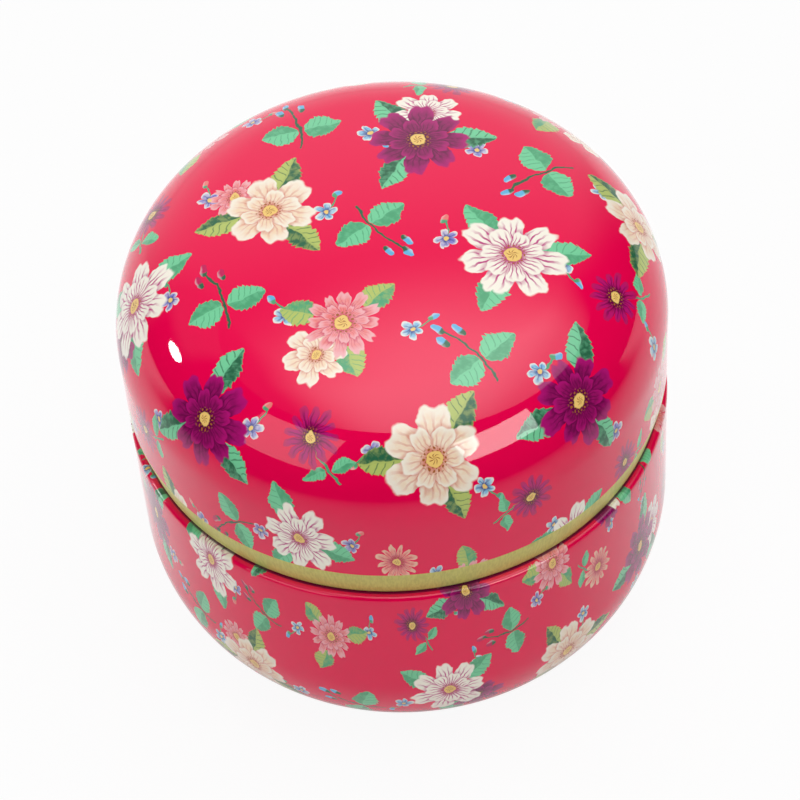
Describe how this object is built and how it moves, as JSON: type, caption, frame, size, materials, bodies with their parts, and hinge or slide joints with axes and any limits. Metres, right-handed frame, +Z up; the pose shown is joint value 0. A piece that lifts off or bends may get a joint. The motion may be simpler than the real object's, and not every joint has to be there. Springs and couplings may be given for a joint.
{
  "type": "tea caddy",
  "caption": "Round drawn-tin tea caddy with rounded corners, a shoulder and neck on the base, and a domed slip lid whose gold rim leans in to a rolled edge.",
  "frame": {"origin": "middle of the plane that the tin stands on", "axes": "+Z up along the tin's axis, the way the lid lifts off"},
  "size_m": [0.065, 0.065, 0.0642],
  "materials": {
    "printed_base": "gloss varnish over a printed floral pattern",
    "printed_lid": "gloss varnish over a printed floral pattern, gold lacquer on the leaning rim"
  },
  "bodies": {
    "base": {"base": "printed_base"},
    "lid": {"lid": "printed_lid"}
  },
  "joints": [
    {"name": "lid_lift", "type": "slide", "parent": "base", "child": "lid", "axis": [0, 0, 1], "range_m": [0, 0.06]}
  ]
}
